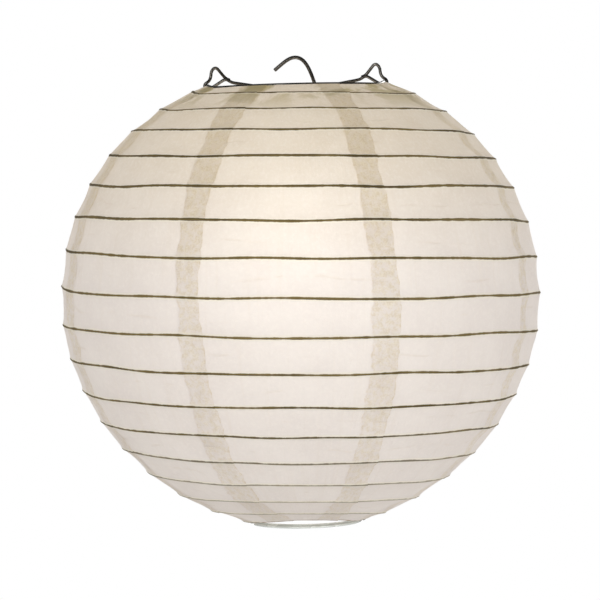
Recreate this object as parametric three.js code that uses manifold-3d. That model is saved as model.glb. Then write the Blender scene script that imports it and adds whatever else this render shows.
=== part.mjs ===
// A round paper lantern, 305 mm across: a paper shade on one helical rib wire between two end
// rings, stretched by a wire expander that hooks both rings and carries the hanging hook.
// Millimetres, +Z up. The origin is the underside of the hook's top, where the lantern hangs, and
// the shade's axis is the Z axis. The expander lies in the XZ plane.

import * as THREE from 'three';
import { mergeVertices } from 'three/addons/utils/BufferGeometryUtils.js';
import Module from 'manifold-3d';

const wasm = await Module();
wasm.setup();

// Gap between pieces that touch, and the larger one that a faceted paper edge keeps to a ring
const CLEARANCE = 0.3;
const EDGE_CLEARANCE = 0.6;

// Shade outline: a superellipse above the equator and another below it
const EQUATOR_RADIUS = 152.5;
const UPPER = { height: 147.15, power: 2.11 };
const LOWER = { height: 146.3, power: 1.908 };
const OUTLINE_DIVISIONS = 800;

// Paper
const GORES = 8;
const FIRST_SEAM = 19;
const LAP_WIDTH = 16.5;
const PAPER_THICKNESS = 0.5;
const GORE_COLUMNS = 4;
const LAP_COLUMNS = 2;
const NOTCH = { length: 9, width: 4, height: 7 };

// Rib wire: one helix from the top ring to the bottom ring, azimuths in degrees from +X
const RIB_WIRE = 1.0;
const RIB_TURNS = 16.6;
const RIB_START = 40;
const RIB_STEP = 10;
const RIB_END_GAP = 0.1;
const NARROWEST_BAND = 0.12;

// End rings
const TOP_RING_RADIUS = 56;
const TOP_RING_WIRE = 2.0;
const BOTTOM_RING_RADIUS = 35;
const BOTTOM_RING_WIRE = 1.6;
const HEM_ABOVE_RING = 0.2;
const RING_STEP = 9;

// The bottom ring is bent from one length: its last stretch lies inside and above its first
const OVERLAP = { rampFrom: 184, rampTo: 199, lowerFrom: 202, upperTo: 345, inward: 1.8, upward: 1.0 };

// The expander holds each ring at two points only, so the shade's ends bow in front and behind. The
// higher the power, the nearer to those points the bow starts.
const TOP_BOW = { depth: -2.4, power: 20, from: 0.18, to: 0 };
const BOTTOM_BOW = { depth: 4.2, power: 2, from: 0.7, to: 1 };

// Expander: heights are from the top ring's plane
const FRAME_WIRE = 2.4;
const BAR_WIRE = 2.0;
const HOOK_RISE = 16.9;
const HOOK_TIP = { x: -13.2, z: 9 };
const HOOK_TIP_PULL = { x: -6.7, z: 14.3 };
const HOOK_TOP_PULL = { left: -4, right: 6.5 };
const HOOK_STEM_PULL = { x: 9.4, z: 8.2 };
const HOOK_STEM_X = 12;
const HOOK_FOOT = { x: 13.6, z: -5.5 };
const HOOK_STEPS = 8;
const LEG_X = 26;
const LEG_BEND = 6;
const LEG_TOP = -1.2;
const CROSSBAR_DIP = -3.4;
const CROSSBAR_AT_STEM = -3.0;
const ARM_END = { x: 41, z: 1.9 };
const CLIP_INNER = { x: 44.6, z: 4.4 };
const CLIP_APEX = { x: 51.2, z: 11.4 };
const CLIP_BEND = 1.6;
const CLIP_TIP = { x: 42.2, z: 3.6 };
const CLIP_GRIP = { from: -119.5, to: 88, steps: 9 };
const FOOT_RISE = 5;
const FOOT_FLAT = 20;
const FOOT_SHOULDER = 29;
const FOOT_BEND = 2;
const FOOT_GRIP = { from: 90, to: -5, steps: 6 };

const WIRE_SIDES = 8;
const RIB_SIDES = 4;
const BEND_STEPS = 4;

const TOP_EDGE_RADIUS = TOP_RING_RADIUS + TOP_RING_WIRE / 2 + EDGE_CLEARANCE;
const BOTTOM_EDGE_RADIUS = BOTTOM_RING_RADIUS + BOTTOM_RING_WIRE / 2 + EDGE_CLEARANCE;
const LAP_RISE = PAPER_THICKNESS + CLEARANCE;

const WELD_STEP = (FRAME_WIRE + BAR_WIRE) / 2 + CLEARANCE;
const TOP_RING_Z = FRAME_WIRE / 2 - HOOK_RISE;
const EQUATOR_Z = TOP_RING_Z - outlineHeight(UPPER, TOP_EDGE_RADIUS);
const HEM_Z = EQUATOR_Z - outlineHeight(LOWER, BOTTOM_EDGE_RADIUS);
const BOTTOM_RING_Z = HEM_Z - HEM_ABOVE_RING;
const CROSSBAR_Y = WELD_STEP;
const CLIP_REACH = (TOP_RING_WIRE + BAR_WIRE) / 2 + CLEARANCE;
const FOOT_REACH = (BOTTOM_RING_WIRE + BAR_WIRE) / 2 + CLEARANCE;
const FOOT_Z = BOTTOM_RING_Z + FOOT_REACH + FOOT_RISE;
const LEG_BOTTOM_Z = FOOT_Z + WELD_STEP;

const PAPER = { color: 0xe9dfd3, roughness: 0.9, metalness: 0 };
const RIB_STEEL = { color: 0x5a5140, roughness: 0.6, metalness: 0.4 };
const BRIGHT_STEEL = { color: 0x35322f, roughness: 0.35, metalness: 0.9 };

function named(name, geometry, finish) {
  const mesh = new THREE.Mesh(geometry, new THREE.MeshStandardMaterial(finish));
  mesh.name = name;
  return mesh;
}

// Height of the outline above or below the equator where it has this radius
function outlineHeight(half, radius) {
  return half.height * (1 - (radius / EQUATOR_RADIUS) ** half.power) ** (1 / half.power);
}

// The paper's outer outline, from its top edge to its hem, as points (radius, height)
class Outline extends THREE.Curve {
  getPoint(t, target = new THREE.Vector2()) {
    const z = THREE.MathUtils.lerp(TOP_RING_Z, HEM_Z, t);
    const half = z > EQUATOR_Z ? UPPER : LOWER;
    const share = 1 - (Math.abs(z - EQUATOR_Z) / half.height) ** half.power;
    return target.set(EQUATOR_RADIUS * share ** (1 / half.power), z);
  }
}

const outline = new Outline();
outline.arcLengthDivisions = OUTLINE_DIVISIONS;

// How far one end of the shade is shifted along Z, at its front and back most of all
function bow(end, along, azimuth) {
  const share = THREE.MathUtils.smoothstep(
    (along - end.from) / (end.to - end.from), 0, 1);
  return end.depth * share * (1 - Math.abs(Math.cos(azimuth)) ** end.power);
}

// A point on the shade: turns of the rib wire below the top edge, azimuth in degrees, and distance
// outside the outline
function shadePoint(turn, degrees, outside) {
  const along = turn / RIB_TURNS;
  const azimuth = THREE.MathUtils.degToRad(degrees);
  const point = outline.getPointAt(along);
  const slope = outline.getTangentAt(along);
  const radius = point.x - outside * slope.y;
  const shift = bow(TOP_BOW, along, azimuth) + bow(BOTTOM_BOW, along, azimuth);
  const z = point.y + outside * slope.x + shift;
  return new THREE.Vector3(radius * Math.cos(azimuth), radius * Math.sin(azimuth), z);
}

// A polyline as a path whose sections stand at its own points
class WirePath extends THREE.Curve {
  constructor(points) {
    super();
    this.points = points;
  }

  getPointAt(t) {
    return this.points[Math.round(t * (this.points.length - 1))];
  }

  getPoint(t) {
    return this.getPointAt(t);
  }

  getTangentAt(t) {
    const at = Math.round(t * (this.points.length - 1));
    const before = this.points[Math.max(at - 1, 0)];
    const after = this.points[Math.min(at + 1, this.points.length - 1)];
    const here = this.points[at];
    const into = here.clone().sub(before).normalize();
    const out = after.clone().sub(here).normalize();
    return into.add(out).normalize();
  }
}

// Round wire through these points, its section having a flat side square to the path's plane
function wire(points, diameter, sides) {
  const section = new THREE.Shape();
  for (let side = 0; side < sides; side++) {
    const angle = ((side + 0.5) / sides) * 2 * Math.PI;
    const [x, y] = [Math.cos(angle), Math.sin(angle)].map((part) => (part * diameter) / 2);
    if (side === 0) section.moveTo(x, y);
    else section.lineTo(x, y);
  }
  const extrudePath = new WirePath(points);
  return new THREE.ExtrudeGeometry(section, { steps: points.length - 1, extrudePath });
}

// The corners of a polyline rounded to a bend that starts this far from each corner
function bent(corners, reach) {
  const points = [corners[0]];
  for (let at = 1; at < corners.length - 1; at++) {
    const corner = corners[at];
    const start = corner.clone().add(corners[at - 1].clone().sub(corner).setLength(reach));
    const end = corner.clone().add(corners[at + 1].clone().sub(corner).setLength(reach));
    points.push(...new THREE.QuadraticBezierCurve3(start, corner, end).getPoints(BEND_STEPS));
  }
  points.push(corners.at(-1));
  return points;
}

// The centre line of a wire that grips a ring, bent round the ring's centre in the XZ plane
function gripArc(centre, reach, grip) {
  const points = [];
  for (let step = 0; step <= grip.steps; step++) {
    const degrees = THREE.MathUtils.lerp(grip.from, grip.to, step / grip.steps);
    const angle = THREE.MathUtils.degToRad(degrees);
    const out = new THREE.Vector3(Math.cos(angle), 0, Math.sin(angle));
    points.push(out.multiplyScalar(reach).add(centre));
  }
  return points;
}

function mirrored(points) {
  return points.map((point) => new THREE.Vector3(-point.x, point.y, point.z)).reverse();
}

function solid(geometry) {
  const bare = geometry.clone();
  bare.deleteAttribute('normal');
  bare.deleteAttribute('uv');
  const merged = mergeVertices(bare);
  return new wasm.Manifold(new wasm.Mesh({
    numProp: 3,
    vertProperties: new Float32Array(merged.attributes.position.array),
    triVerts: new Uint32Array(merged.index.array),
  }));
}

function cut(geometry, tool) {
  const result = solid(geometry).subtract(solid(tool)).getMesh();
  const left = new THREE.BufferGeometry();
  left.setAttribute('position', new THREE.BufferAttribute(result.vertProperties, 3));
  left.setIndex(new THREE.BufferAttribute(result.triVerts, 1));
  return left;
}

// The turns at which a paper strip at this azimuth is creased: its two edges and each rib between
function creases(degrees) {
  const first = (degrees - RIB_START) / 360;
  const last = Math.floor(RIB_TURNS);
  const turns = [0, Math.max(first, NARROWEST_BAND)];
  for (let turn = 1; turn < last; turn++) {
    turns.push(first + turn);
  }
  turns.push(Math.min(first + last, RIB_TURNS - NARROWEST_BAND), RIB_TURNS);
  return turns;
}

// One strip of paper. Its left margin lies under the strip before it and its right margin over the
// strip after it, so each strip climbs by one thickness and a gap from left to right.
function goreGeometry(number) {
  const left = FIRST_SEAM + (number * 360) / GORES;
  const right = left + 360 / GORES;
  const rows = creases(left).length;
  const columns = GORE_COLUMNS + 2 * LAP_COLUMNS + 1;
  const positions = [];
  for (const depth of [0, PAPER_THICKNESS]) {
    for (let row = 0; row < rows; row++) {
      const radius = outline.getPointAt(creases((left + right) / 2)[row] / RIB_TURNS).x;
      const half = THREE.MathUtils.radToDeg(LAP_WIDTH / 2 / radius);
      for (let column = 0; column < columns; column++) {
        const across = THREE.MathUtils.clamp((column - LAP_COLUMNS) / GORE_COLUMNS, 0, 1);
        const under = Math.min(column - LAP_COLUMNS, 0);
        const over = Math.max(column - LAP_COLUMNS - GORE_COLUMNS, 0);
        const between = THREE.MathUtils.lerp(left + half, right - half, across);
        const degrees = between + ((under + over) * 2 * half) / LAP_COLUMNS;
        const outside = (across - 1) * LAP_RISE - depth;
        positions.push(...shadePoint(creases(degrees)[row], degrees, outside));
      }
    }
  }
  const sheet = rows * columns;
  const faces = [];
  const quad = (a, b, c, d) => faces.push(a, b, c, a, c, d);
  for (let row = 0; row < rows - 1; row++) {
    for (let column = 0; column < columns - 1; column++) {
      const a = row * columns + column;
      const b = a + columns;
      quad(a, b, b + 1, a + 1);
      quad(sheet + a, sheet + a + 1, sheet + b + 1, sheet + b);
    }
    const start = row * columns;
    const end = start + columns - 1;
    quad(start, sheet + start, sheet + start + columns, start + columns);
    quad(end, end + columns, sheet + end + columns, sheet + end);
  }
  for (let column = 0; column < columns - 1; column++) {
    const hem = (rows - 1) * columns + column;
    quad(column, column + 1, sheet + column + 1, sheet + column);
    quad(hem, sheet + hem, sheet + hem + 1, hem + 1);
  }
  const geometry = new THREE.BufferGeometry();
  geometry.setAttribute('position', new THREE.Float32BufferAttribute(positions, 3));
  geometry.setIndex(faces);
  return geometry;
}

// A slot where the expander's wire passes the paper's edge to grip a ring
function notch(x, y, z) {
  return new THREE.BoxGeometry(NOTCH.length, NOTCH.width, NOTCH.height).translate(x, y, z);
}

function gore(number) {
  let geometry = goreGeometry(number);
  const left = FIRST_SEAM + (number * 360) / GORES;
  for (const side of [0, 180, 360]) {
    if (side < left || side > left + 360 / GORES) continue;
    const sign = side === 180 ? -1 : 1;
    geometry = cut(geometry, notch(sign * TOP_RING_RADIUS, CROSSBAR_Y, TOP_RING_Z));
    geometry = cut(geometry, notch(sign * BOTTOM_EDGE_RADIUS, 0, HEM_Z));
  }
  return named(`paper_gore_${number + 1}`, geometry, PAPER);
}

function ribWire() {
  const sagitta = EQUATOR_RADIUS * (1 - Math.cos(Math.PI / GORES / GORE_COLUMNS));
  const inside = LAP_RISE + PAPER_THICKNESS + CLEARANCE + sagitta + RIB_WIRE / 2;
  const points = [];
  const steps = Math.round(((RIB_TURNS - 2 * RIB_END_GAP) * 360) / RIB_STEP);
  for (let step = 0; step <= steps; step++) {
    const turn = THREE.MathUtils.lerp(RIB_END_GAP, RIB_TURNS - RIB_END_GAP, step / steps);
    points.push(shadePoint(turn, RIB_START + turn * 360, -inside));
  }
  return named('rib_wire', wire(points, RIB_WIRE, RIB_SIDES), RIB_STEEL);
}

function topRing() {
  const tube = TOP_RING_WIRE / 2;
  const geometry = new THREE.TorusGeometry(TOP_RING_RADIUS, tube, WIRE_SIDES, 360 / RING_STEP);
  const places = geometry.attributes.position;
  for (let at = 0; at < places.count; at++) {
    const azimuth = Math.atan2(places.getY(at), places.getX(at));
    places.setZ(at, places.getZ(at) + TOP_RING_Z + bow(TOP_BOW, 0, azimuth));
  }
  return named('top_ring', geometry, BRIGHT_STEEL);
}

function bottomRing() {
  const points = [];
  const end = OVERLAP.upperTo + 360;
  const steps = Math.round((end - OVERLAP.lowerFrom) / RING_STEP);
  for (let step = 0; step <= steps; step++) {
    const degrees = THREE.MathUtils.lerp(OVERLAP.lowerFrom, end, step / steps);
    const azimuth = THREE.MathUtils.degToRad(degrees);
    const over = THREE.MathUtils.smoothstep(
      degrees - 360, OVERLAP.rampFrom, OVERLAP.rampTo);
    const radius = BOTTOM_RING_RADIUS - over * OVERLAP.inward;
    const z = BOTTOM_RING_Z + over * OVERLAP.upward;
    points.push(new THREE.Vector3(radius * Math.cos(azimuth), radius * Math.sin(azimuth), z));
  }
  return named('bottom_ring', wire(points, BOTTOM_RING_WIRE, WIRE_SIDES), BRIGHT_STEEL);
}

// A short wire whose slanting stem is welded in front of the crossbar
function hangingHook() {
  const at = (x, z) => new THREE.Vector3(x, 0, TOP_RING_Z + z);
  const apex = at(0, HOOK_RISE);
  const fromTip = new THREE.CubicBezierCurve3(
    at(HOOK_TIP.x, HOOK_TIP.z),
    at(HOOK_TIP_PULL.x, HOOK_TIP_PULL.z),
    at(HOOK_TOP_PULL.left, HOOK_RISE),
    apex);
  const toStem = new THREE.CubicBezierCurve3(
    apex,
    at(HOOK_TOP_PULL.right, HOOK_RISE),
    at(HOOK_STEM_PULL.x, HOOK_STEM_PULL.z),
    at(HOOK_STEM_X, 0));
  const rising = fromTip.getPoints(HOOK_STEPS);
  const falling = toStem.getPoints(HOOK_STEPS).slice(1);
  const points = [...rising, ...falling, at(HOOK_FOOT.x, HOOK_FOOT.z)];
  return named('hanging_hook', wire(points, FRAME_WIRE, WIRE_SIDES), BRIGHT_STEEL);
}

// Both legs are one U-shaped wire, its ends welded in front of the crossbar
function legFrame() {
  const at = (x, z) => new THREE.Vector3(x, 0, z);
  const legTop = TOP_RING_Z + LEG_TOP;
  const corners = [
    at(LEG_X, legTop),
    at(LEG_X, LEG_BOTTOM_Z),
    at(-LEG_X, LEG_BOTTOM_Z),
    at(-LEG_X, legTop),
  ];
  const points = bent(corners, LEG_BEND);
  return named('leg_frame', wire(points, FRAME_WIRE, WIRE_SIDES), BRIGHT_STEEL);
}

// One wire welded behind the hook and the legs. Each end kinks up, passes under and round the top
// ring, rises to the clip's apex and comes back down behind its own arm.
function topCrossbar() {
  const at = (x, z, back = 0) => new THREE.Vector3(x, CROSSBAR_Y + back, TOP_RING_Z + z);
  const behind = BAR_WIRE + CLEARANCE;
  const arm = bent([
    at(0, CROSSBAR_DIP),
    at(HOOK_STEM_X, CROSSBAR_AT_STEM),
    at(ARM_END.x, ARM_END.z),
    at(CLIP_INNER.x, CLIP_INNER.z),
    at(TOP_RING_RADIUS, -CLIP_REACH),
  ], CLIP_BEND).slice(1, -1);
  const grip = gripArc(at(TOP_RING_RADIUS, 0), CLIP_REACH, CLIP_GRIP);
  const ear = bent([
    grip.at(-1),
    at(CLIP_APEX.x, CLIP_APEX.z, behind / 2),
    at(CLIP_INNER.x, CLIP_INNER.z, behind),
    at(CLIP_TIP.x, CLIP_TIP.z, behind),
  ], CLIP_BEND).slice(1);
  const right = [...arm, ...grip, ...ear];
  const points = [...mirrored(right), ...right];
  return named('top_crossbar', wire(points, BAR_WIRE, WIRE_SIDES), BRIGHT_STEEL);
}

// The bar welded under the leg frame. Each end passes over the bottom ring and turns down outside it.
function footBar() {
  const at = (x, z) => new THREE.Vector3(x, 0, z);
  const overRing = BOTTOM_RING_Z + FOOT_REACH;
  const arm = bent([
    at(0, FOOT_Z),
    at(FOOT_FLAT, FOOT_Z),
    at(FOOT_SHOULDER, overRing),
    at(BOTTOM_RING_RADIUS, overRing),
  ], FOOT_BEND).slice(1, -1);
  const grip = gripArc(at(BOTTOM_RING_RADIUS, BOTTOM_RING_Z), FOOT_REACH, FOOT_GRIP);
  const right = [...arm, ...grip];
  const points = [...mirrored(right), ...right];
  return named('foot_bar', wire(points, BAR_WIRE, WIRE_SIDES), BRIGHT_STEEL);
}

const lantern = new THREE.Group();
for (let number = 0; number < GORES; number++) {
  lantern.add(gore(number));
}
lantern.add(ribWire());
lantern.add(topRing());
lantern.add(bottomRing());
lantern.add(hangingHook());
lantern.add(legFrame());
lantern.add(topCrossbar());
lantern.add(footBar());

export default lantern;
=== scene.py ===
import math

import bmesh
import bpy
import numpy as np
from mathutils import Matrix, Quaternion, Vector, noise


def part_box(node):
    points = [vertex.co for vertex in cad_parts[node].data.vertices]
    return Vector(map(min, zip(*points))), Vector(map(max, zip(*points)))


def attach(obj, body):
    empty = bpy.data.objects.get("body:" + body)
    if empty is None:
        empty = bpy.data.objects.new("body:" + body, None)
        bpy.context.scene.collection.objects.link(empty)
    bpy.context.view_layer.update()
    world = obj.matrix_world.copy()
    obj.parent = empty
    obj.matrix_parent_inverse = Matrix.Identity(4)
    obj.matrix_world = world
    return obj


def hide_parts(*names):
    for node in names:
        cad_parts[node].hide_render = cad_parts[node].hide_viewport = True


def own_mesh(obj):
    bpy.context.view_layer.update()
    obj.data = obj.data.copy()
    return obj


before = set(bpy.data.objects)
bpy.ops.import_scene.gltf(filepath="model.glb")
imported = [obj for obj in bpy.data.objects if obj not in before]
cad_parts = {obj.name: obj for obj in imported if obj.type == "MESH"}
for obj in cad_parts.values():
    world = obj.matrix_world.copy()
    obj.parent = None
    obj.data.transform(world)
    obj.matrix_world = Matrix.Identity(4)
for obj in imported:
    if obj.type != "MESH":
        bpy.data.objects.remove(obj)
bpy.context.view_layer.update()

# A round paper lantern: eight paper strips on one helical rib wire between two end rings,
# stretched by a wire expander. Metres, +Z up, in the frame's own axes.

MM = 0.001
TURN = 360.0

# Shade outline, as in the CAD: a superellipse above the equator and another below it
EQUATOR_RADIUS = 152.5 * MM
UPPER_HEIGHT, UPPER_POWER = 147.15 * MM, 2.11
LOWER_HEIGHT, LOWER_POWER = 146.3 * MM, 1.908
OUTLINE_POINTS = 2000

# Wires: thicknesses, and the gaps between pieces that touch on the real lantern
TOP_RING_WIRE = 2.0 * MM
BOTTOM_RING_WIRE = 1.6 * MM
RIB_WIRE = 1.0 * MM
FRAME_WIRE = 2.4 * MM
BAR_WIRE = 2.0 * MM
GAP = 0.3 * MM
EDGE_GAP = 0.6 * MM
BOTTOM_RING_RADIUS = 35.0 * MM
BOTTOM_RING_DROP = 0.2 * MM

# Wire meshes: sides, steps along the wire, and the blunt rounded end as (distance past the end,
# radius), both in shares of the wire's radius
WIRE_SIDES = 14
WIRE_STEP = 0.8 * MM
FINE_STEP = 0.5 * MM
BLUNT_END = ((0.30, 0.55), (0.24, 0.82), (0.10, 0.96))

# Rib helix: its turns, the azimuth in degrees from +X where it starts, the turns left free at each
# end, its gap to the paper, and the least turns between the paper's edge and the first crease
RIB_TURNS = 16.6
RIB_START = 40.0
RIB_END_GAP = 0.1
RIB_CLEARANCE = 0.1 * MM
RIB_SIDES = 8
RIB_STEPS_PER_TURN = 72
NARROWEST_BAND = 0.12

# How far the hand-bent rib strays along the outline: parts of (turns, cycles a turn, phase). It
# doesn't stray within the first turns at an end, and does so more and more over the next.
RIB_STRAY = ((0.050, 0.143, -0.32), (0.012, 1.31, 2.2), (0.014, 4.3, 0.4), (0.013, 8.7, 1.7),
             (0.007, 13.9, 5.1))
RIB_STRAY_MEAN = -0.025
RIB_STRAY_CLEAR, RIB_STRAY_FADE = 0.3, 1.2

# Paper strips: the first seam's azimuth, the laps, the one narrow lap's widths on the two sides of its
# seam with the depth of its scallops in millimetres, and how far a strip's end stands off the next
GORES = 8
FIRST_SEAM = 19.0
LAP_WIDTH = 16.5 * MM
NARROW_SEAM, NARROW_LAP, NARROW_SCALLOP = 7, (1.4 * MM, 10.2 * MM), 3.2
LAP_RISE = 0.3 * MM

# Laps are cut by hand. Their width wanders by parts of (millimetres, cycles a band, phase a seam,
# phase a side), and steps from band to band.
LAP_WANDER = ((0.9, 0.13, 1.7, 3), (0.6, 0.41, 2.9, 1), (0.35, 1.7, 1, 2.3), (0.22, 3.3, 4.1, 1),
              (0.12, 6.1, 2.2, 5))
LAP_STEP, LAP_STEP_PHASES = 0.9, (12.9898, 78.233, 37.719)

# A strip's grid: columns, rows as shares of a band, and the across coordinate, in which a lap and the
# clear strip have these widths, the left seam is at 0 and the right lap starts here
LAP_COLUMNS = 6
STRIP_COLUMNS = 32
BAND_ROWS = (0.0, 0.03, 0.07, 0.13, 0.22, 0.33, 0.42, 0.5, 0.58, 0.67, 0.78, 0.87, 0.93, 0.97)
LAP_SPAN, CLEAR_SPAN = 2, 10
RIGHT_LAP = CLEAR_SPAN + LAP_SPAN / 2

# The paper rises over the rib wire and sags between its turns, by an amount that varies round the
# shade: parts of (height, waves a turn, phase a band)
RIDGE_HEIGHT = 0.38 * MM
RIDGE_REACH = 0.8 * MM
SAG = 0.7 * MM
SLACK_WAVES = ((0.5, 11, 2.1), (0.35, 26, 5.3))

# Wrinkles: height in millimetres, waves a metre along X, Y and Z, and a shift of its own
PUCKER = (0.34, (105, 105, 30), (0, 0, 0))
CRUMPLE = (0.34, (40, 40, 64), (5, 0, 0))
SHARP_CREASE = (0.26, (26, 26, 22), (0, 0, 9))
CREASE_SHARPNESS = 8

# The paper's edge is cut back where the expander grips a ring: depths in turns of rib wire
TOP_NOTCH, BOTTOM_NOTCH = 0.12, 0.14
NOTCH_HALF_WIDTH, NOTCH_EDGE = 2.2 * MM, 0.6 * MM

# The expander holds each ring at two points only, so the shade's ends bow in front and behind:
# depth, power, and the shares of the outline between which the bow grows
TOP_BOW = (-2.4 * MM, 20, 0.18, 0.0)
BOTTOM_BOW = (4.2 * MM, 2, 0.7, 1.0)

# The bottom ring's last stretch lies inside and above its first: in degrees, and how far in and up
OVERLAP_RAMP = (184.0, 199.0)
OVERLAP_ENDS = (202.0, 345.0)
OVERLAP_SHIFT = (1.8 * MM, 1.0 * MM)

# Expander, in millimetres along X and above the top ring's plane, and its grips in degrees
HOOK_RISE = 16.9
HOOK_TIP = (-13.2, 9)
HOOK_TIP_PULL = (-6.7, 14.3)
HOOK_TOP_PULL = (-4, 6.5)
HOOK_STEM_PULL = (9.4, 8.2)
HOOK_STEM_X = 12
HOOK_FOOT = (13.6, -5.5)
HOOK_STEPS = 80
LEG_X, LEG_BEND, LEG_TOP = 26, 6, -1.2
CROSSBAR_DIP = -3.4
CROSSBAR_AT_STEM = -3.0
ARM_END = (41, 1.9)
CLIP_INNER = (44.6, 4.4)
CLIP_KNEE = (54.1, 4.8)
CLIP_SHOULDER = (53.8, 9.7)
CLIP_APEX = (50.9, 12.3)
CLIP_TIP = (42.2, 3.6)
CLIP_BEND = 1.6
CLIP_TOP_BEND = 2.0
CLIP_GRIP = (-119.5, 88)
FOOT_RISE, FOOT_FLAT, FOOT_SHOULDER, FOOT_BEND = 5, 20, 29, 2
FOOT_GRIP = (90, -5)
FOOT_WELD_X = 12

# The legs waver as hand-bent wire does: seed, height, parts of (share, waves a metre, phase a seed),
# and the share of the wire over which it fades out at each end
LEG_SEED = 1.3
LEG_WAVER = 0.11 * MM
WAVER_PARTS = ((1.0, 22, 1), (0.5, 57, 2))
WAVER_FADE = 0.1

# Weld beads: half sizes, how far a leg's bead lies below its wires' middle, and lumps as
# (height, scale, shift)
BEAD = (1.5 * MM, 1.3 * MM, 1.2 * MM)
FOOT_BEAD = (1.8 * MM, 1.1 * MM, 1.3 * MM)
LEG_BEAD_DROP = 0.4
BEAD_LUMPS = ((0.22, 1.7, 900), (0.07, 5.0, 500))


def smoothstep(x):
    x = np.clip(x, 0.0, 1.0)
    return x * x * (3 - 2 * x)


def waves(x, parts):
    """A smooth wandering value: a sum of sine waves, each (height, frequency, phase)."""
    x = np.asarray(x, dtype=float)
    return sum(height * np.sin(2 * math.pi * rate * x + phase) for height, rate, phase in parts)


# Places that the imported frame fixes

TOP_RING_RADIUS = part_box("top_ring")[1].x - TOP_RING_WIRE / 2
TOP_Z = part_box("top_ring")[1].z - TOP_RING_WIRE / 2
TOP_EDGE = TOP_RING_RADIUS + TOP_RING_WIRE / 2 + EDGE_GAP
EQUATOR_Z = TOP_Z - UPPER_HEIGHT * (
    1 - (TOP_EDGE / EQUATOR_RADIUS) ** UPPER_POWER) ** (1 / UPPER_POWER)
BOTTOM_EDGE = BOTTOM_RING_RADIUS + BOTTOM_RING_WIRE / 2 + EDGE_GAP
HEM_Z = EQUATOR_Z - LOWER_HEIGHT * (
    1 - (BOTTOM_EDGE / EQUATOR_RADIUS) ** LOWER_POWER) ** (1 / LOWER_POWER)
BOTTOM_Z = HEM_Z - BOTTOM_RING_DROP
WELD_STEP = (FRAME_WIRE + BAR_WIRE) / 2 + GAP
CLIP_REACH = (TOP_RING_WIRE + BAR_WIRE) / 2 + GAP
FOOT_REACH = (BOTTOM_RING_WIRE + BAR_WIRE) / 2 + GAP
FOOT_Z = BOTTOM_Z + FOOT_REACH + FOOT_RISE * MM
LEG_BOTTOM_Z = FOOT_Z + WELD_STEP


# Camera and light

VIEW_DISTANCE = 1.767
EYE_ABOVE_EQUATOR = 70 * MM
VIEW_WIDTH = 0.383
CAMERA_ROLL = math.radians(-1.35)
CAMERA_TARGET = Vector((-0.6 * MM, 0.0, EQUATOR_Z + 0.1 * MM))
SENSOR = 36.0
FLOOR_BELOW = 2.75
FLOOR_RADIUS = 7.0
FLOOR_LUMPS = 2 * MM

# Lights aimed at the shade: name, place, size, power and colour
SOFT_LIGHTS = (("key", (-0.7, -1.8, 0.45), 0.7, 9.0, (1.0, 0.99, 0.97)),
               ("low_fill", (1.0, -1.4, -0.9), 1.0, 8.0, (1.0, 0.99, 0.98)),
               ("back", (0.8, 1.6, 0.3), 0.8, 7.0, (1.0, 0.99, 0.97)))

# A weak light inside the shade, near its front
LAMP_PLACE = (-3 * MM, -93 * MM, EQUATOR_Z + 28 * MM)
LAMP_SIZE, LAMP_POWER, LAMP_COLOUR = 0.03, 0.126, (1.0, 0.96, 0.87)

# The room's colours, and between which values of a direction's Z it changes
WHITE = (1.0, 1.0, 1.0, 1)
ROOM_BESIDE = (0.91, 0.91, 0.91, 1)
ROOM_BELOW, BELOW_SPAN = (1.20, 1.20, 1.20, 1), (-0.30, -0.95)
ROOM_OVERHEAD, OVERHEAD_SPAN = (0.54, 0.53, 0.51, 1), (0.05, 0.9)
ROOM_IN_METAL = (0.13, 0.13, 0.13, 1)


def aim(thing, place, target, roll=0.0):
    """Put a camera or a light at a place, turned to the target."""
    thing.location = place
    thing.rotation_mode = "QUATERNION"
    look = (Vector(target) - Vector(place)).to_track_quat("-Z", "Y")
    thing.rotation_quaternion = look @ Quaternion((0, 0, 1), roll)


def link(thing):
    bpy.context.scene.collection.objects.link(thing)
    return thing


def make_camera():
    data = bpy.data.cameras.new("camera")
    data.sensor_width = SENSOR
    data.lens = SENSOR * VIEW_DISTANCE / VIEW_WIDTH
    camera = link(bpy.data.objects.new("camera", data))
    eye = CAMERA_TARGET + Vector((0.0, -VIEW_DISTANCE, EYE_ABOVE_EQUATOR))
    aim(camera, eye, CAMERA_TARGET, CAMERA_ROLL)
    bpy.context.scene.camera = camera


def soft_light(name, place, size, power, colour):
    """A round area light turned to the middle of the shade."""
    data = bpy.data.lights.new(name, "AREA")
    data.shape = "DISK"
    data.size = size
    data.energy = power
    data.color = colour
    aim(link(bpy.data.objects.new(name, data)), place, (0.0, 0.0, EQUATOR_Z))


def lamp_inside():
    data = bpy.data.lights.new("lamp_inside", "POINT")
    data.energy = LAMP_POWER
    data.color = LAMP_COLOUR
    data.shadow_soft_size = LAMP_SIZE
    lamp = link(bpy.data.objects.new("lamp_inside", data))
    lamp.location = LAMP_PLACE


def make_world():
    """A white background. The room itself is pale, brighter from below and darker overhead, and dark
    where metal mirrors it."""
    world = bpy.data.worlds.new("studio")
    world.use_nodes = True
    tree = world.node_tree
    direction = add(tree, "TexCoord", {}).outputs["Generated"]
    up = add(tree, "SeparateXYZ", {0: direction}).outputs["Z"]
    room = mixed(tree, remap(tree, up, *BELOW_SPAN), ROOM_BESIDE, ROOM_BELOW)
    room = mixed(tree, remap(tree, up, *OVERHEAD_SPAN), room, ROOM_OVERHEAD)
    ray = add(tree, "LightPath", {})
    room = mixed(tree, ray.outputs["Is Glossy Ray"], room, ROOM_IN_METAL)
    colour = mixed(tree, ray.outputs["Is Camera Ray"], room, WHITE)
    tree.links.new(colour, tree.nodes["Background"].inputs["Color"])
    tree.nodes["Background"].inputs["Strength"].default_value = 1.0
    bpy.context.scene.world = world
    bpy.context.scene.view_settings.view_transform = "Standard"


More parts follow.
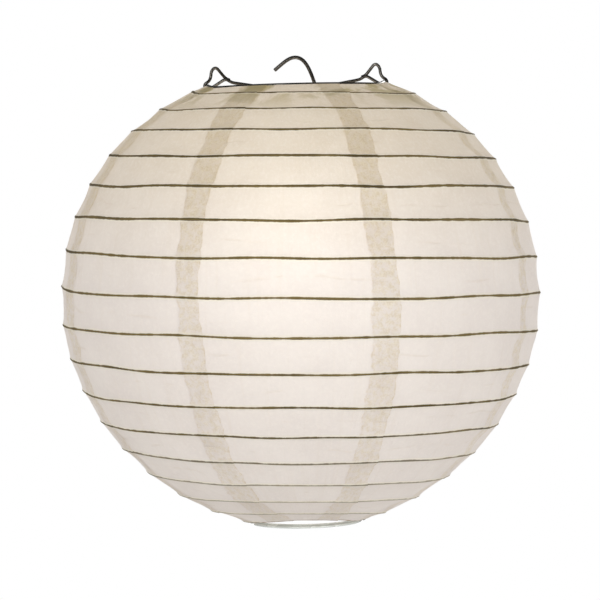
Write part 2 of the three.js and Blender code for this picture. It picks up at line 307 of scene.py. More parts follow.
def make_floor():
    """The lantern hangs well above a round, very slightly uneven pale floor."""
    rings, sides = 24, 96
    vertices = [(0.0, 0.0, 0.0)]
    for ring in range(1, rings + 1):
        for side in range(sides):
            r, angle = FLOOR_RADIUS * ring / rings, 2 * math.pi * side / sides
            place = Vector((r * math.cos(angle), r * math.sin(angle), 0.0))
            vertices.append((place.x, place.y, FLOOR_LUMPS * noise.noise(place)))
    faces = [(0, 1 + side, 1 + (side + 1) % sides) for side in range(sides)]
    for ring in range(rings - 1):
        for side in range(sides):
            a, b = 1 + ring * sides + side, 1 + ring * sides + (side + 1) % sides
            faces.append((a, a + sides, b + sides, b))
    floor = make_mesh("floor", vertices, faces, floor_material())
    floor.location.z = -FLOOR_BELOW


# Materials

# Paper colours: a pair is the two ends of an uneven mix
PAPER_LOW = ((0.838, 0.793, 0.772, 1), (0.878, 0.838, 0.815, 1))
# The top's colour, darker and yellower: painted shade on the upper part of the shade
PAPER_TOP_SHADED = ((0.785, 0.705, 0.580, 1), (0.835, 0.765, 0.655, 1))
PALE_FLECK = (0.95, 0.91, 0.87, 1)
FIBRE = (0.74, 0.65, 0.56, 1)
STREAK = (0.78, 0.70, 0.61, 1)
# Painted shade: a darker line along each old fold's crease
FOLD_PAINTED_SHADE = (0.70, 0.60, 0.49, 1)
# Laps: glue stain, and painted shade where the doubled paper lets less light through
LAP_GLUE_AND_SHADE = ((0.66, 0.55, 0.33, 1), (0.85, 0.78, 0.58, 1))
LAP_EDGE = (0.60, 0.46, 0.28, 1)
SOAKED_GLUE = (0.46, 0.39, 0.19, 1)
HEM_GLUE = (0.36, 0.24, 0.16, 1)
# Painted highlight: a pale line along each side of a rib
RIB_PAINTED_HIGHLIGHT = (0.95, 0.91, 0.78, 1)
RIB_SHADE = ((0.100, 0.068, 0.018, 1), (0.205, 0.148, 0.048, 1))


def start_material(name):
    material = bpy.data.materials.new(name)
    material.use_nodes = True
    material.node_tree.nodes.clear()
    return material


def add(tree, kind, values, **settings):
    """A shader node with its settings, and its inputs set to numbers or linked to sockets."""
    node = tree.nodes.new("ShaderNode" + kind)
    for key, value in settings.items():
        setattr(node, key, value)
    for key, value in values.items():
        if isinstance(value, bpy.types.NodeSocket):
            tree.links.new(value, node.inputs[key])
        else:
            node.inputs[key].default_value = value
    return node


def mixed(tree, share, first, second):
    """The first colour where share is 0, the second where it is 1."""
    return add(tree, "Mix", {0: share, 6: first, 7: second}, data_type="RGBA").outputs[2]


def calc(tree, operation, first, second=0.0):
    return add(tree, "Math", {0: first, 1: second}, operation=operation).outputs[0]


def product(tree, first, second):
    return calc(tree, "MULTIPLY", first, second)


def remap(tree, value, low, high, to_low=0.0, to_high=1.0):
    """A value eased from to_low, where it is low, to to_high, where it is high."""
    values = {0: value, 1: low, 2: high, 3: to_low, 4: to_high}
    return add(tree, "MapRange", values, interpolation_type="SMOOTHSTEP").outputs[0]


def speckle(tree, vector, scale=1.0, detail=2.0, roughness=0.5, distortion=0.0):
    """Smooth noise from 0 to 1. The scale is in specks to a unit of the vector."""
    values = {"Vector": vector, "Scale": scale, "Detail": detail,
              "Roughness": roughness, "Distortion": distortion}
    return add(tree, "TexNoise", values).outputs["Fac"]


def attribute(tree, name):
    return add(tree, "Attribute", {}, attribute_name=name).outputs["Fac"]


def scaled(tree, vector, across, down):
    """The flat strip's coordinates, scaled for noise with this many specks a metre each way."""
    return add(tree, "Mapping", {"Vector": vector, "Scale": (across, down, 1.0)}).outputs["Vector"]


def plain_sheet(tree, place, height, mottle, fibres, streaks):
    """Cloudy, fibrous paper, paler and pinker low down, with painted shade that makes it darker and
    yellower towards the top.
    """
    cloud = remap(tree, speckle(tree, place, scale=26, detail=4, roughness=0.6), 0.3, 0.7)
    # Painted shade: the paper darkens and yellows from the equator up towards the top ring
    rise = remap(tree, height, EQUATOR_Z, TOP_Z - 12 * MM)
    colour = mixed(tree, rise, mixed(tree, cloud, *PAPER_LOW), mixed(tree, cloud, *PAPER_TOP_SHADED))
    colour = mixed(tree, remap(tree, mottle, 0.42, 0.72, 0.0, 0.30), colour, PALE_FLECK)
    colour = mixed(tree, remap(tree, fibres, 0.56, 0.72, 0.0, 0.20), colour, FIBRE)
    return mixed(tree, remap(tree, streaks, 0.5, 0.75, 0.0, 0.16), colour, STREAK)


def old_fold(tree, flat, band):
    """Where the soft, broken line of the old fold runs, about halfway down each band."""
    wander = remap(tree, speckle(tree, scaled(tree, flat, 14, 30)), 0.0, 1.0, -0.26, 0.26)
    middle = calc(tree, "ADD", wander, 0.5)
    distance = calc(tree, "ABSOLUTE", calc(tree, "SUBTRACT", calc(tree, "FRACT", band), middle))
    unbroken = remap(tree, speckle(tree, scaled(tree, flat, 38, 70), detail=3), 0.52, 0.66)
    return product(tree, remap(tree, distance, 0.060, 0.0), unbroken)


def lap_place(tree, across, mottle):
    """Where the paper is doubled, and the across coordinate with a ragged edge."""
    ragged = calc(tree, "ADD", across, remap(tree, mottle, 0.2, 0.8, -0.10, 0.10))
    return remap(tree, ragged, RIGHT_LAP - 0.02, RIGHT_LAP + 0.16), ragged


def laps_glue_and_shade(tree, colour, flat, height, across, lap, ragged):
    """Tan on doubled paper: glue stain, and painted shade where two layers let less light through. Its glue
    is uneven and squeezed out at the edges, plainest near the top.
    """
    glue = remap(tree, speckle(tree, flat, scale=230, detail=6, roughness=0.75), 0.42, 0.60, 0.22, 1.0)
    strength = remap(tree, height, HEM_Z, TOP_Z, 0.36, 0.52)
    fine = speckle(tree, flat, scale=900, detail=2, roughness=0.5)
    coarse = speckle(tree, flat, scale=210, detail=5, roughness=0.7)
    tan = mixed(tree, remap(tree, calc(tree, "ADD", fine, coarse), 0.80, 1.22), *LAP_GLUE_AND_SHADE)
    # Glue stain and painted shade on the laps
    colour = mixed(tree, product(tree, product(tree, lap, glue), strength), colour, tan)
    inner = calc(tree, "ABSOLUTE", calc(tree, "SUBTRACT", ragged, RIGHT_LAP + 0.06))
    outer = calc(tree, "ABSOLUTE", calc(tree, "SUBTRACT", across, RIGHT_LAP + LAP_SPAN - 0.03))
    squeezed = product(tree, remap(tree, calc(tree, "MINIMUM", inner, outer), 0.09, 0.02), glue)
    return mixed(tree, product(tree, squeezed, 0.20), colour, LAP_EDGE)


def stray_glue(tree, colour, place, flat, band):
    """Olive glue soaked into the top bands, and a brown line of it along the hem."""
    patches = speckle(tree, place, scale=34, detail=4, roughness=0.6, distortion=0.4)
    near_top = remap(tree, band, 2.4, 0.3, 0.0, 0.85)
    soaked = product(tree, near_top, remap(tree, patches, 0.44, 0.58))
    colour = mixed(tree, soaked, colour, SOAKED_GLUE)
    down = add(tree, "SeparateXYZ", {0: flat}).outputs["Y"]
    hem = remap(tree, down, OUTLINE_LENGTH - 2.2 * MM, OUTLINE_LENGTH - 0.8 * MM)
    brown = product(tree, hem, remap(tree, patches, 0.42, 0.52, 0.1, 0.9))
    return mixed(tree, brown, colour, HEM_GLUE)


def rib_line(tree, colour, flat, height):
    """The rib wire showing through, faint low down, with a painted highlight: a pale line on each side of
    it.
    """
    distance = attribute(tree, "rib_distance")
    waver = speckle(tree, scaled(tree, flat, 90, 20), detail=4, roughness=0.65)
    wider = remap(tree, height, EQUATOR_Z, EQUATOR_Z + 80 * MM, 0.0, 0.20 * MM)
    reach = calc(tree, "ADD", remap(tree, waver, 0.3, 0.7, 0.42 * MM, 0.86 * MM), wider)
    # Painted highlight beside the rib
    pale = remap(tree, distance, 2.1 * MM, 0.9 * MM, 0.0, 0.70)
    colour = mixed(tree, pale, colour, RIB_PAINTED_HIGHLIGHT)
    line = remap(tree, calc(tree, "SUBTRACT", reach, distance), -0.30 * MM, 0.22 * MM)
    tone = speckle(tree, scaled(tree, flat, 15, 9), detail=4, roughness=0.6)
    dark = mixed(tree, remap(tree, tone, 0.36, 0.62), *RIB_SHADE)
    plain = remap(tree, height, HEM_Z, HEM_Z + 75 * MM, 0.50, 0.97)
    return mixed(tree, product(tree, line, plain), colour, dark)


def paper_material():
    """Thin long-fibred paper: cloudy, with painted shade towards the top and along its old folds, tanned
    where it is doubled and glued at a lap (glue stain and painted shade), dark along the rib wire that it
    is glued to with a painted highlight beside it, and lit through from inside."""
    material = start_material("lantern_paper")
    tree = material.node_tree
    place = add(tree, "TexCoord", {}).outputs["Object"]
    flat = add(tree, "UVMap", {}, uv_map="paper").outputs["UV"]
    across = attribute(tree, "across")
    band = attribute(tree, "band")
    height = add(tree, "SeparateXYZ", {0: place}).outputs["Z"]
    mottle = speckle(tree, flat, scale=380, detail=5, roughness=0.65, distortion=0.15)
    fibres = speckle(tree, scaled(tree, flat, 1100, 240), detail=6, roughness=0.7, distortion=2.4)
    streaks = speckle(tree, scaled(tree, flat, 190, 11), detail=3, roughness=0.6)
    fold = old_fold(tree, flat, band)
    lap, ragged = lap_place(tree, across, mottle)

    colour = plain_sheet(tree, place, height, mottle, fibres, streaks)
    # Painted shade along the old fold
    colour = mixed(tree, product(tree, fold, 0.17), colour, FOLD_PAINTED_SHADE)
    colour = laps_glue_and_shade(tree, colour, flat, height, across, lap, ragged)
    colour = stray_glue(tree, colour, place, flat, band)
    colour = rib_line(tree, colour, flat, height)

    relief = calc(tree, "ADD", product(tree, fibres, 0.6), mottle)
    relief = calc(tree, "ADD", relief, product(tree, streaks, 1.4))
    relief = calc(tree, "SUBTRACT", relief, product(tree, fold, 0.8))
    bump = add(tree, "Bump", {"Height": relief, "Strength": 0.45, "Distance": 0.6 * MM}).outputs[0]
    front = add(tree, "BsdfPrincipled", {
        "Base Color": colour, "Roughness": remap(tree, mottle, 0.3, 0.7, 0.72, 0.92),
        "Normal": bump, "Specular IOR Level": 0.25, "Sheen Weight": 0.12})
    through = add(tree, "BsdfTranslucent", {"Color": colour, "Normal": bump})
    thin = calc(tree, "SUBTRACT", 0.46, product(tree, lap, 0.04))
    body = add(tree, "MixShader", {0: thin, 1: front.outputs[0], 2: through.outputs[0]})
    add(tree, "OutputMaterial", {"Surface": body.outputs[0]})
    return material


def wire_material(name, tint, worn, roughness, metallic=1.0):
    """Drawn wire: fine grain, uneven tarnish and brighter rubbed spots."""
    material = start_material(name)
    tree = material.node_tree
    place = add(tree, "TexCoord", {}).outputs["Object"]
    tarnish = speckle(tree, place, scale=120, detail=2, roughness=0.4)
    fine = speckle(tree, place, scale=2600, detail=3, roughness=0.6)
    colour = mixed(tree, remap(tree, tarnish, 0.45, 0.72), tint, worn)
    rough = remap(tree, tarnish, 0.3, 0.7, roughness - 0.04, roughness + 0.07)
    bump = add(tree, "Bump", {"Height": fine, "Strength": 0.04, "Distance": 0.04 * MM}).outputs[0]
    metal = add(tree, "BsdfPrincipled", {
        "Base Color": colour, "Roughness": rough, "Normal": bump, "Metallic": metallic})
    add(tree, "OutputMaterial", {"Surface": metal.outputs[0]})
    return material


def floor_material():
    """Pale and matte, fading into the white background towards its rim."""
    material = start_material("pale_floor")
    tree = material.node_tree
    place = add(tree, "TexCoord", {}).outputs["Object"]
    cloud = speckle(tree, place, scale=3, detail=3)
    colour = mixed(tree, cloud, (0.86, 0.86, 0.85, 1), (0.90, 0.90, 0.89, 1))
    matte = add(tree, "BsdfPrincipled", {"Base Color": colour, "Roughness": 0.9})
    white = add(tree, "Emission", {"Color": WHITE, "Strength": 1.0})
    radius = add(tree, "VectorMath", {0: place}, operation="LENGTH").outputs["Value"]
    edge = remap(tree, radius, 0.35 * FLOOR_RADIUS, 0.95 * FLOOR_RADIUS)
    faded = add(tree, "MixShader", {0: edge, 1: matte.outputs[0], 2: white.outputs[0]})
    add(tree, "OutputMaterial", {"Surface": faded.outputs[0]})
    return material


# Meshes

def make_mesh(name, points, faces, material):
    """A smooth-shaded mesh object, linked to the scene."""
    mesh = bpy.data.meshes.new(name)
    mesh.from_pydata([tuple(point) for point in points], [], faces)
    mesh.materials.append(material)
    mesh.shade_smooth()
    return link(bpy.data.objects.new(name, mesh))


def give_attribute(mesh, name, values):
    layer = mesh.attributes.new(name, "FLOAT", "POINT")
    layer.data.foreach_set("value", np.asarray(values, dtype=np.float32).ravel())


def grid_faces(rows, columns):
    corners = [row * columns + column for row in range(rows - 1) for column in range(columns - 1)]
    return [(a, a + columns, a + columns + 1, a + 1) for a in corners]


def fold_up(piece):
    """Gives the piece a mesh of its own."""
    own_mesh(piece)


# Shade

def superellipse(z):
    """The shade's radius at heights above the equator."""
    height = np.where(z > 0, UPPER_HEIGHT, LOWER_HEIGHT)
    power = np.where(z > 0, UPPER_POWER, LOWER_POWER)
    return EQUATOR_RADIUS * (1 - (np.abs(z) / height) ** power) ** (1 / power)


def measured_outline():
    """The outline from top edge to hem: share of its length, radius, height, both slopes, length."""
    z = np.linspace(TOP_Z - EQUATOR_Z, HEM_Z - EQUATOR_Z, OUTLINE_POINTS)
    r = superellipse(z)
    along = np.concatenate([[0.0], np.cumsum(np.hypot(np.diff(r), np.diff(z)))])
    return along / along[-1], r, z, np.gradient(r, along), np.gradient(z, along), along[-1]


ALONG, OUT_R, OUT_Z, OUT_DR, OUT_DZ, OUTLINE_LENGTH = measured_outline()
PITCH = OUTLINE_LENGTH / RIB_TURNS


def bow(end, along, azimuth):
    """How far one end of the shade is raised or lowered in front and behind."""
    depth, power, start, stop = end
    share = smoothstep((along - start) / (stop - start))
    return depth * share * (1 - np.abs(np.cos(azimuth)) ** power)


def shade_points(turns, degrees, outside):
    """Points on the shade: turns of rib wire below the top edge, azimuth, distance outside."""
    along = np.asarray(turns) / RIB_TURNS
    azimuth = np.radians(degrees)
    r = np.interp(along, ALONG, OUT_R) - outside * np.interp(along, ALONG, OUT_DZ)
    z = np.interp(along, ALONG, OUT_Z) + outside * np.interp(along, ALONG, OUT_DR)
    z = z + EQUATOR_Z + bow(TOP_BOW, along, azimuth) + bow(BOTTOM_BOW, along, azimuth)
    return np.stack([r * np.cos(azimuth), r * np.sin(azimuth), z], axis=-1)


def stray(turns):
    """How far the rib strays along the outline from an even helix, none near its two ends."""
    below_start = smoothstep((turns - RIB_STRAY_CLEAR) / RIB_STRAY_FADE)
    above_end = smoothstep((RIB_TURNS - RIB_STRAY_CLEAR - turns) / RIB_STRAY_FADE)
    return (waves(turns, RIB_STRAY) + RIB_STRAY_MEAN) * below_start * above_end


def notch(degrees, radius, offset, depth):
    """How far the paper's edge is cut back where the expander's wire grips a ring."""
    azimuth = np.radians(degrees)
    beside = np.abs(np.abs(radius * np.sin(azimuth)) - offset)
    facing = (np.abs(np.cos(azimuth)) > 0.5) & (np.sin(azimuth) * offset >= 0)
    return np.where(facing, depth * smoothstep((NOTCH_HALF_WIDTH - beside) / NOTCH_EDGE), 0.0)


def crease(number, degrees):
    """The turn of one crease at these azimuths: 0 is the top edge, then each rib, then the hem."""
    degrees = np.asarray(degrees, dtype=float)
    first = (degrees - RIB_START) / TURN
    last = int(RIB_TURNS)
    if number == 0:
        return notch(degrees, TOP_EDGE, WELD_STEP, TOP_NOTCH)
    if number == last + 2:
        return RIB_TURNS - notch(degrees, BOTTOM_EDGE, 0.0, BOTTOM_NOTCH)
    turn = first + number - 1
    turn = turn + stray(turn)
    least = NARROWEST_BAND + notch(degrees, TOP_EDGE, WELD_STEP, TOP_NOTCH)
    most = RIB_TURNS - NARROWEST_BAND - notch(degrees, BOTTOM_EDGE, 0.0, BOTTOM_NOTCH)
    return np.clip(turn, least, most)


def rib_distance(turns, degrees):
    """The distance along the paper to the nearest turn of the rib wire."""
    first = (np.asarray(degrees) - RIB_START) / TURN
    nearest = np.full(np.shape(turns), 1.0)
    for count in range(int(RIB_TURNS) + 1):
        turn = np.clip(first + count, RIB_END_GAP, RIB_TURNS - RIB_END_GAP)
        beyond = np.abs(first + count - turn)
        gap = np.hypot(np.abs(turns - turn - stray(turn)) * PITCH, beyond * EQUATOR_RADIUS)
        nearest = np.minimum(nearest, gap)
    return nearest


def lap_half(seam, side, bands):
    """Half of a lap's width on one side of its seam: hand cut, so it wanders and steps by band."""
    wander = waves(bands, [(height, rate, a_seam * seam + a_side * side)
                           for height, rate, a_seam, a_side in LAP_WANDER])
    a_band, a_seam, a_side = LAP_STEP_PHASES
    step = LAP_STEP * math.sin(math.floor(bands) * a_band + seam * a_seam + side * a_side)
    half = LAP_WIDTH / 2
    if seam == NARROW_SEAM:
        half = NARROW_LAP[side]
        step = NARROW_SCALLOP * (1 - 2 * side)
    return half + (wander + step * math.sin(math.pi * (bands % 1.0))) * MM


def unevenness(place, kind):
    """Smooth noise from -1 to 1 at a place, for one kind of wrinkle."""
    _, rates, shift = kind
    return noise.noise(Vector([place[k] * rates[k] + shift[k] for k in range(3)]))


def wrinkle(points, free):
    """Puckers and small creases in the stretched paper, none where it is glued to a rib."""
    lift = []
    for place in points.reshape(-1, 3):
        pucker = PUCKER[0] * unevenness(place, PUCKER)
        crumple = CRUMPLE[0] * unevenness(place, CRUMPLE)
        sharp = 1 - CREASE_SHARPNESS * abs(unevenness(place, SHARP_CREASE))
        lift.append(pucker + crumple + SHARP_CREASE[0] * max(sharp, 0.0))
    return np.array(lift).reshape(free.shape) * free * MM


def strip_rows():
    """Each row of a strip as a band number and a share of the way down that band."""
    bands = int(RIB_TURNS) + 2
    rows = [(band, share) for band in range(bands) for share in BAND_ROWS]
    return rows + [(bands - 1, 1.0)]


def strip_columns():
    """The columns' shares of the left lap, of the clear strip and of the right lap."""
    left = [(k / LAP_COLUMNS, 0.0, 0.0) for k in range(LAP_COLUMNS)]
    middle = [(1.0, k / STRIP_COLUMNS, 0.0) for k in range(STRIP_COLUMNS + 1)]
    right = [(1.0, 1.0, (k + 1) / LAP_COLUMNS) for k in range(LAP_COLUMNS)]
    return np.array(left + middle + right).T


LAP_IN, MIDDLE, LAP_OUT = strip_columns()


def strip_angles(number, band, share):
    """The azimuths of a strip's columns at one row, with its laps as wide as they are cut there."""
    left = FIRST_SEAM + number * TURN / GORES
    right = left + TURN / GORES
    centre = (left + right) / 2
    turn = (1 - share) * crease(band, centre) + share * crease(band + 1, centre)
    radius = float(np.interp(turn / RIB_TURNS, ALONG, OUT_R))
    laps = [np.degrees(lap_half(seam % GORES, side, band + share) / radius)
            for seam, side in ((number, 0), (number, 1), (number + 1, 0), (number + 1, 1))]
    start = left - laps[0] + LAP_IN * (laps[0] + laps[1])
    stop = right - laps[2] + LAP_OUT * (laps[2] + laps[3])
    return start + MIDDLE * (stop - start)


def paper_lift(band, angles, near, free, chord):
    """How far the paper stands off the straight line between two turns of the rib wire."""
    parts = [(height, rate, band * phase) for height, rate, phase in SLACK_WAVES]
    sag = SAG * free * (1 + waves(angles / TURN, parts))
    return RIDGE_HEIGHT * np.exp(-(near / RIDGE_REACH) ** 2) - sag + wrinkle(chord, free)


def strip_row(number, band, share):
    """One row of a strip: its points, rib distances and flat places."""
    angles = strip_angles(number, band, share)
    outside = (MIDDLE - 1) * LAP_RISE
    above, below = crease(band, angles), crease(band + 1, angles)
    here = (1 - share) * above + share * below
    chord = (1 - share) * shade_points(above, angles, outside)
    chord = chord + share * shade_points(below, angles, outside)
    normal = (shade_points(here, angles, outside + MM) - shade_points(here, angles, outside)) / MM
    near = rib_distance(here, angles)
    free = math.sin(math.pi * share) * np.minimum(below - above, 1.0)
    lift = paper_lift(band, angles, near, free, chord)
    flat = np.stack([np.radians(angles) * EQUATOR_RADIUS, here * PITCH], axis=-1)
    return chord + normal * lift[:, None], near, flat


def strip_grid(number):
    """The grid of one strip: points, rib distances, bands, across coordinates and flat places."""
    rows = strip_rows()
    points, ribs, flats = zip(*[strip_row(number, band, share) for band, share in rows])
    bands = [np.full(len(MIDDLE), band + share) for band, share in rows]
    across = LAP_SPAN * (LAP_IN - 0.5) + CLEAR_SPAN * MIDDLE + LAP_SPAN * LAP_OUT
    return np.array(points), np.array(ribs), np.array(bands), across, np.array(flats)


def paper_strip(number, material):
    """One strip as a sheet, with the attributes and flat coordinates that its material reads."""
    points, ribs, bands, across, flats = strip_grid(number)
    rows, columns = ribs.shape
    faces = grid_faces(rows, columns)
    piece = make_mesh(f"paper_strip_{number + 1}", points.reshape(-1, 3), faces, material)
    mesh = piece.data
    give_attribute(mesh, "rib_distance", ribs)
    give_attribute(mesh, "band", bands)
    give_attribute(mesh, "across", np.tile(across, rows))
    layer = mesh.uv_layers.new(name="paper")
    corners = np.empty(len(mesh.loops), dtype=np.int32)
    mesh.loops.foreach_get("vertex_index", corners)
    layer.data.foreach_set("uv", flats.reshape(-1, 2)[corners].astype(np.float32).ravel())
    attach(piece, "root")
    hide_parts(f"paper_gore_{number + 1}")
    fold_up(piece)


# Wires

def wire_mesh(points, radius, sides):
    """A round tube along points with blunt rounded ends: its vertices and faces."""
    points = np.asarray(points, dtype=float)
    tangents = np.gradient(points, axis=0)
    tangents /= np.linalg.norm(tangents, axis=1)[:, None]
    side = np.cross(tangents[0], (0.0, 0.0, 1.0))
    if np.linalg.norm(side) < 0.1:
        side = np.cross(tangents[0], (0.0, 1.0, 0.0))
    past, narrowed = zip(*BLUNT_END)
    route = [points[0] - tangents[0] * radius * reach for reach in past] + list(points)
    route += [points[-1] + tangents[-1] * radius * reach for reach in reversed(past)]
    directions = [tangents[0]] * len(past) + list(tangents) + [tangents[-1]] * len(past)
    sizes = list(narrowed) + [1.0] * len(points) + list(reversed(narrowed))
    vertices = []
    for place, direction, size in zip(route, directions, sizes):
        side = side - direction * np.dot(side, direction)
        side = side / np.linalg.norm(side)
        other = np.cross(direction, side)
        for k in range(sides):
            angle = 2 * math.pi * k / sides
            out = math.cos(angle) * side + math.sin(angle) * other
            vertices.append(place + radius * size * out)
    faces = []
    for ring in range(len(route) - 1):
        for k in range(sides):
            a, b = ring * sides + k, ring * sides + (k + 1) % sides
            faces.append((a, b, b + sides, a + sides))
    faces.append(tuple(range(sides - 1, -1, -1)))
    last = (len(route) - 1) * sides
    faces.append(tuple(range(last, last + sides)))
    return vertices, faces


def wire_piece(name, points, wire, sides, material, node, body="root"):
    """A wire of this thickness, standing for a CAD node and riding on its body."""
    vertices, faces = wire_mesh(points, wire / 2, sides)
    piece = make_mesh(name, vertices, faces, material)
    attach(piece, body)
    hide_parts(node)
    return piece


def rib_helix(material):
    """The rib wire, just inside the paper."""
    inside = LAP_RISE + RIB_WIRE / 2 + RIB_CLEARANCE
    count = int((RIB_TURNS - 2 * RIB_END_GAP) * RIB_STEPS_PER_TURN)
    turns = np.linspace(RIB_END_GAP, RIB_TURNS - RIB_END_GAP, count)
    points = shade_points(turns + stray(turns), RIB_START + turns * TURN, -inside)
    piece = wire_piece("rib_helix", points, RIB_WIRE, RIB_SIDES, material, "rib_wire")
    fold_up(piece)


def at(x, z, y=0.0):
    """A point of the expander: millimetres along X and above the top ring's plane, metres along Y."""
    return Vector((x * MM, y, TOP_Z + z * MM))


def bezier(first, pull, second_pull, last, steps=HOOK_STEPS):
    """Points on a cubic curve from first to last, drawn towards two pulls."""
    points = []
    for step in range(steps + 1):
        t = step / steps
        points.append((1 - t) ** 3 * first + 3 * (1 - t) ** 2 * t * pull
                      + 3 * (1 - t) * t ** 2 * second_pull + t ** 3 * last)
    return points


def bent(corners, reach, steps=8):
    """The corners of a polyline rounded to a bend that starts this far from each corner."""
    points = [corners[0]]
    for before, corner, after in zip(corners, corners[1:], corners[2:]):
        start = corner + (before - corner).normalized() * reach
        end = corner + (after - corner).normalized() * reach
        for step in range(steps + 1):
            t = step / steps
            points.append((1 - t) ** 2 * start + 2 * (1 - t) * t * corner + t ** 2 * end)
    points.append(corners[-1])
    return points


def grip(centre, reach, limits, steps=20):
    """The centre line of a wire bent round a ring's centre in the XZ plane."""
    points = []
    for step in range(steps + 1):
        angle = math.radians(limits[0] + (limits[1] - limits[0]) * step / steps)
        points.append(centre + reach * Vector((math.cos(angle), 0.0, math.sin(angle))))
    return points


def mirrored(points):
    """The same route on the other side of X = 0, drawn the other way."""
    return [Vector((-point.x, point.y, point.z)) for point in reversed(points)]


def evenly(points, step=WIRE_STEP):
    """The same route with points an even step apart."""
    points = np.array([tuple(point) for point in points])
    lengths = np.linalg.norm(np.diff(points, axis=0), axis=1)
    points = points[np.concatenate([[True], lengths > 1e-7])]
    lengths = np.linalg.norm(np.diff(points, axis=0), axis=1)
    along = np.concatenate([[0.0], np.cumsum(lengths)])
    places = np.linspace(0.0, along[-1], max(int(along[-1] / step), 8))
    return np.stack([np.interp(places, along, points[:, k]) for k in range(3)], axis=-1)


def eased(points, passes=5):
    """The same route with its bends eased a little, as springy wire takes them."""
    for _ in range(passes):
        points[1:-1] = (points[:-2] + 2 * points[1:-1] + points[2:]) / 4
    return points


def hand_bent(points, seed):
    """Small irregularities of a wire bent by hand, along Y and Z, none at its ends."""
    points = evenly(points)
    share = np.linspace(0.0, 1.0, len(points))
    length = len(points) * WIRE_STEP
    fade = smoothstep(share / WAVER_FADE) * smoothstep((1 - share) / WAVER_FADE)
    for axis in (1, 2):
        parts = [(height, rate * length, seed * seeds + axis) for height, rate, seeds in WAVER_PARTS]
        points[:, axis] += LEG_WAVER * waves(share, parts) * fade
    return points


def hanging_hook(material):
    """A short hook, bent over to its open tip, with a stem that is welded in front of the crossbar."""
    apex = at(0, HOOK_RISE)
    rising = bezier(at(*HOOK_TIP), at(*HOOK_TIP_PULL), at(HOOK_TOP_PULL[0], HOOK_RISE), apex)
    falling = bezier(apex, at(HOOK_TOP_PULL[1], HOOK_RISE), at(*HOOK_STEM_PULL), at(HOOK_STEM_X, 0))
    points = rising + falling[1:] + [at(*HOOK_FOOT)]
    wire_piece("hook_wire", eased(evenly(points)), FRAME_WIRE, WIRE_SIDES, material, "hanging_hook")


def leg_frame(material):
    """A U of wire that holds the two rings apart."""
    corners = [at(LEG_X, LEG_TOP), Vector((LEG_X * MM, 0, LEG_BOTTOM_Z)),
               Vector((-LEG_X * MM, 0, LEG_BOTTOM_Z)), at(-LEG_X, LEG_TOP)]
    points = hand_bent(bent(corners, LEG_BEND * MM), LEG_SEED)
    wire_piece("leg_wire", points, FRAME_WIRE, WIRE_SIDES, material, "leg_frame")


def top_crossbar(material):
    """One wire: straight across behind the hook, then round the top ring and up into a clip at each end."""
    behind = BAR_WIRE + GAP
    ring_x = TOP_RING_RADIUS / MM
    arm = bent([at(0, CROSSBAR_DIP, WELD_STEP), at(HOOK_STEM_X, CROSSBAR_AT_STEM, WELD_STEP),
                at(*ARM_END, WELD_STEP), at(*CLIP_INNER, WELD_STEP),
                at(ring_x, -CLIP_REACH / MM, WELD_STEP)], CLIP_BEND * MM)[1:-1]
    hold = grip(at(ring_x, 0, WELD_STEP), CLIP_REACH, CLIP_GRIP)
    knee, shoulder = at(*CLIP_KNEE, WELD_STEP + behind / 4), at(*CLIP_SHOULDER, WELD_STEP + behind / 3)
    apex = at(*CLIP_APEX, WELD_STEP + behind / 2)
    inner, tip = at(*CLIP_INNER, WELD_STEP + behind), at(*CLIP_TIP, WELD_STEP + behind)
    ear = bent([hold[-1], knee, shoulder, apex, (apex + inner) / 2], CLIP_TOP_BEND * MM)[1:]
    ear += bent([ear[-1], inner, tip], CLIP_BEND * MM)[1:]
    right = arm + hold + ear
    points = eased(evenly(mirrored(right) + right, FINE_STEP))
    wire_piece("crossbar_wire", points, BAR_WIRE, WIRE_SIDES, material, "top_crossbar")


def foot_bar(material):
    """One wire whose ends hook over the bottom ring."""
    over = BOTTOM_Z + FOOT_REACH
    arm = bent([Vector((0, 0, FOOT_Z)), Vector((FOOT_FLAT * MM, 0, FOOT_Z)),
                Vector((FOOT_SHOULDER * MM, 0, over)), Vector((BOTTOM_RING_RADIUS, 0, over))],
               FOOT_BEND * MM)[1:-1]
    hold = grip(Vector((BOTTOM_RING_RADIUS, 0, BOTTOM_Z)), FOOT_REACH, FOOT_GRIP)
    right = arm + hold
    points = eased(evenly(mirrored(right) + right, FINE_STEP))
    wire_piece("foot_wire", points, BAR_WIRE, WIRE_SIDES, material, "foot_bar")


def top_ring(material):
    """A closed ring, its butt weld hidden at the back."""
    azimuth = np.radians(np.linspace(TURN / 4, TURN / 4 + TURN, int(TURN) + 1))
    z = TOP_Z + bow(TOP_BOW, 0.0, azimuth)
    points = np.stack([TOP_RING_RADIUS * np.cos(azimuth), TOP_RING_RADIUS * np.sin(azimuth), z], axis=-1)
    wire_piece("top_ring_wire", points, TOP_RING_WIRE, WIRE_SIDES, material, "top_ring")


def bottom_ring(material):
    """A ring whose ends overlap, on the body that moves."""
    degrees = np.arange(OVERLAP_ENDS[0], OVERLAP_ENDS[1] + TURN + 0.5, 1.0)
    over = smoothstep((degrees - TURN - OVERLAP_RAMP[0]) / (OVERLAP_RAMP[1] - OVERLAP_RAMP[0]))
    azimuth = np.radians(degrees)
    r = BOTTOM_RING_RADIUS - over * OVERLAP_SHIFT[0]
    z = BOTTOM_Z + over * OVERLAP_SHIFT[1]
    points = np.stack([r * np.cos(azimuth), r * np.sin(azimuth), z], axis=-1)
    wire_piece("bottom_ring_wire", points, BOTTOM_RING_WIRE, WIRE_SIDES, material, "bottom_ring",
               body="lower_ring")


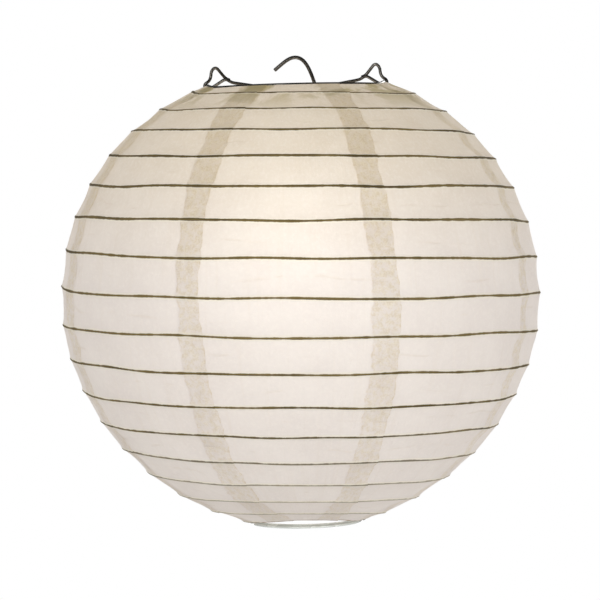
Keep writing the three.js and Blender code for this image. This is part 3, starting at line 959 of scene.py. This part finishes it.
def weld(name, place, size, material):
    """A small uneven bead of weld metal where two wires meet."""
    shape = bmesh.new()
    bmesh.ops.create_icosphere(shape, subdivisions=3, radius=1.0)
    for vertex in shape.verts:
        lump = 1.0
        for height, scale, shift in BEAD_LUMPS:
            lump += height * noise.noise(vertex.co * scale + Vector(place) * shift)
        vertex.co = Vector((vertex.co.x * size[0], vertex.co.y * size[1], vertex.co.z * size[2]))
        vertex.co = vertex.co * lump + Vector(place)
    mesh = bpy.data.meshes.new(name)
    shape.to_mesh(mesh)
    shape.free()
    mesh.materials.append(material)
    mesh.shade_smooth()
    bead = link(bpy.data.objects.new(name, mesh))
    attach(bead, "root")


def welds(material):
    """The beads that join the hook, the crossbar, the legs and the foot bar."""
    between = WELD_STEP / 2
    arm_at_leg = CROSSBAR_AT_STEM + (LEG_X - HOOK_STEM_X) / (ARM_END[0] - HOOK_STEM_X) * (
        ARM_END[1] - CROSSBAR_AT_STEM)
    weld("weld_hook", at((HOOK_STEM_X + HOOK_FOOT[0]) / 2, CROSSBAR_AT_STEM, between), BEAD, material)
    for side, name in ((1, "right"), (-1, "left")):
        leg = at(side * LEG_X, (arm_at_leg + LEG_TOP) / 2 - LEG_BEAD_DROP, between)
        weld(f"weld_leg_{name}", leg, BEAD, material)
        foot = Vector((side * FOOT_WELD_X * MM, 0.0, (FOOT_Z + LEG_BOTTOM_Z) / 2))
        weld(f"weld_foot_{name}", foot, FOOT_BEAD, material)


make_camera()
make_world()
for light in SOFT_LIGHTS:
    soft_light(*light)
lamp_inside()
make_floor()

PAPER = paper_material()
RIB_STEEL = wire_material("rib_steel", tint=(0.20, 0.18, 0.12, 1), worn=(0.34, 0.31, 0.23, 1),
                          roughness=0.55)
DARK_STEEL = wire_material("dark_steel", tint=(0.12, 0.113, 0.10, 1), worn=(0.22, 0.207, 0.185, 1),
                           roughness=0.24)
PALE_STEEL = wire_material("pale_steel", tint=(0.66, 0.69, 0.66, 1), worn=(0.80, 0.83, 0.79, 1),
                           roughness=0.22, metallic=0.25)

rib_helix(RIB_STEEL)
for strip_number in range(GORES):
    paper_strip(strip_number, PAPER)
hanging_hook(DARK_STEEL)
top_crossbar(DARK_STEEL)
top_ring(DARK_STEEL)
leg_frame(DARK_STEEL)
foot_bar(DARK_STEEL)
bottom_ring(PALE_STEEL)
welds(DARK_STEEL)
